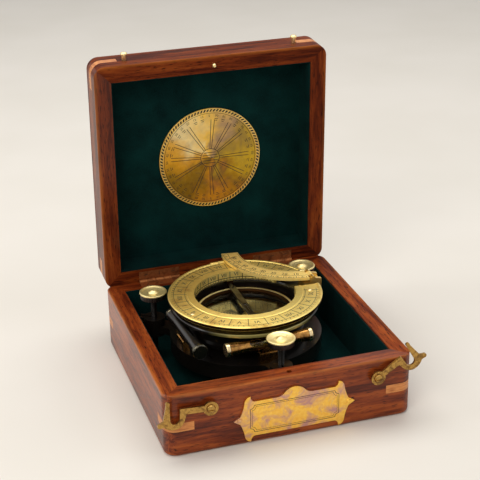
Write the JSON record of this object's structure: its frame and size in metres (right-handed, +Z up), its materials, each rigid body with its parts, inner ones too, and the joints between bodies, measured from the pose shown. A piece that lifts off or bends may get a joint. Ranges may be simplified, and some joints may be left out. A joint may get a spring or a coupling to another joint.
{
  "type": "boxed sundial compass",
  "caption": "Square hardwood case with hinged lid and brass hooks, holding a sundial compass on levelling screws with a folding hour ring and latitude arc.",
  "frame": {"origin": "middle of the case's underside, which stands on the table", "axes": "+X right as seen from the front, +Y towards the lid hinges, +Z up; the front with the hooks faces -Y"},
  "size_m": [0.1778, 0.1947, 0.2124],
  "materials": {
    "case_wood": "polished figured hardwood, reddish brown",
    "key_wood": "light orange hardwood slips",
    "baize": "dark green baize",
    "plate_brass": "tarnished engraved brass",
    "aged_brass": "aged brass",
    "bright_brass": "bright polished brass",
    "dark_brass": "blackened brass, satin",
    "dial_silver": "silvered dial, matt",
    "blued_steel": "blued steel",
    "glass": "clear flat glass",
    "vial_glass": "clear vial with pale spirit"
  },
  "bodies": {
    "base_box": {"base_wall_front": "case_wood", "base_wall_right": "case_wood", "base_wall_back": "case_wood", "base_wall_left": "case_wood", "base_bottom": "case_wood", "base_floor_baize": "baize", "base_wall_baize": "baize", "base_corner_keys": "key_wood", "nameplate": "plate_brass", "nameplate_pins": "plate_brass", "base_hinge_leaves": "aged_brass", "base_hinge_screws": "aged_brass", "hinge_pins": "aged_brass", "left_hook_screw": "aged_brass", "right_hook_screw": "aged_brass"},
    "lid": {"lid_wall_front": "case_wood", "lid_wall_right": "case_wood", "lid_wall_back": "case_wood", "lid_wall_left": "case_wood", "lid_panel": "case_wood", "lid_panel_baize": "baize", "lid_wall_baize": "baize", "lid_corner_keys": "key_wood", "lid_hinge_leaves": "aged_brass", "lid_hinge_screws": "aged_brass", "catch_pins": "aged_brass", "locating_peg": "aged_brass", "lid_disc": "plate_brass"},
    "left_hook": {"left_hook": "aged_brass"},
    "right_hook": {"right_hook": "aged_brass"},
    "instrument": {"tripod_base": "dark_brass", "ear_clamp_screws": "dark_brass", "compass_bowl": "dark_brass", "compass_card": "dial_silver", "needle_pivot": "bright_brass", "cover_glass": "glass", "bezel": "bright_brass", "front_level_tube": "dark_brass", "left_level_tube": "dark_brass", "level_vials": "vial_glass", "level_caps": "bright_brass", "level_saddles": "dark_brass", "ring_bracket": "bright_brass", "ring_pin": "bright_brass", "arc_bracket": "bright_brass", "arc_pin": "bright_brass"},
    "hour_ring": {"hour_ring": "bright_brass", "gnomon_pivots": "bright_brass"},
    "latitude_arc": {"latitude_arc": "bright_brass"},
    "gnomon_bar": {"gnomon_bar": "bright_brass"},
    "gnomon_pin": {"gnomon_pin": "bright_brass"},
    "needle": {"compass_needle": "blued_steel", "needle_cap": "bright_brass"},
    "left_screw": {"left_levelling_screw": "dark_brass"},
    "left_knob": {"left_levelling_knob": "bright_brass"},
    "right_screw": {"right_levelling_screw": "dark_brass"},
    "right_knob": {"right_levelling_knob": "bright_brass"},
    "front_screw": {"front_levelling_screw": "dark_brass"},
    "front_knob": {"front_levelling_knob": "bright_brass"}
  },
  "joints": [
    {"name": "lid_hinge", "type": "hinge", "parent": "base_box", "child": "lid", "pos_m": [0, 0.0805, 0.0435], "axis": [-1, 0, 0], "range_deg": [-88, 0]},
    {"name": "left_hook_pivot", "type": "hinge", "parent": "base_box", "child": "left_hook", "pos_m": [-0.054, -0.0854, 0.0325], "axis": [0, -1, 0], "range_deg": [-84.5, 47.5]},
    {"name": "right_hook_pivot", "type": "hinge", "parent": "base_box", "child": "right_hook", "pos_m": [0.057, -0.0854, 0.0325], "axis": [0, 1, 0], "range_deg": [-54.5, 77.5]},
    {"name": "instrument_lift_out", "type": "slide", "parent": "base_box", "child": "instrument", "axis": [0, 0, 1], "range_m": [0, 0.09]},
    {"name": "arc_fold", "type": "hinge", "parent": "instrument", "child": "latitude_arc", "pos_m": [0.0485, 0.016, 0.061], "axis": [0, 1, 0], "range_deg": [0, 90]},
    {"name": "hour_ring_tilt", "type": "hinge", "parent": "instrument", "child": "hour_ring", "pos_m": [-0.001, 0.0615, 0.058], "axis": [-1, 0, 0], "range_deg": [0, 63]},
    {"name": "gnomon_bar_turn", "type": "hinge", "parent": "hour_ring", "child": "gnomon_bar", "pos_m": [-0.001, 0.009, 0.0493], "axis": [0, 1, 0], "range_deg": [-180, 0]},
    {"name": "gnomon_pin_fold", "type": "hinge", "parent": "gnomon_bar", "child": "gnomon_pin", "pos_m": [-0.001, 0.009, 0.0493], "axis": [-1, 0, 0], "range_deg": [0, 90]},
    {"name": "needle_turn", "type": "hinge", "parent": "instrument", "child": "needle", "pos_m": [-0.001, 0.009, 0.04], "axis": [0, 0, 1], "continuous": true},
    {"name": "left_screw_rise", "type": "slide", "parent": "instrument", "child": "left_screw", "axis": [0, 0, 1], "range_m": [0, 0.003]},
    {"name": "left_knob_turn", "type": "hinge", "parent": "left_screw", "child": "left_knob", "pos_m": [-0.05802, 0.03805, 0.054], "axis": [0, 0, 1], "range_deg": [0, 1080]},
    {"name": "right_screw_rise", "type": "slide", "parent": "instrument", "child": "right_screw", "axis": [0, 0, 1], "range_m": [0, 0.003]},
    {"name": "right_knob_turn", "type": "hinge", "parent": "right_screw", "child": "right_knob", "pos_m": [0.05267, 0.04386, 0.054], "axis": [0, 0, 1], "range_deg": [0, 1080]},
    {"name": "front_screw_rise", "type": "slide", "parent": "instrument", "child": "front_screw", "axis": [0, 0, 1], "range_m": [0, 0.003]},
    {"name": "front_knob_turn", "type": "hinge", "parent": "front_screw", "child": "front_knob", "pos_m": [0.00235, -0.05491, 0.054], "axis": [0, 0, 1], "range_deg": [0, 1080]}
  ],
  "couplings": [
    {"joint": "hour_ring_tilt", "follows": "arc_fold", "ratio": 0.7},
    {"joint": "left_knob_turn", "follows": "left_screw_rise", "rad_per_m": 6283.2},
    {"joint": "right_knob_turn", "follows": "right_screw_rise", "rad_per_m": 6283.2},
    {"joint": "front_knob_turn", "follows": "front_screw_rise", "rad_per_m": 6283.2}
  ]
}
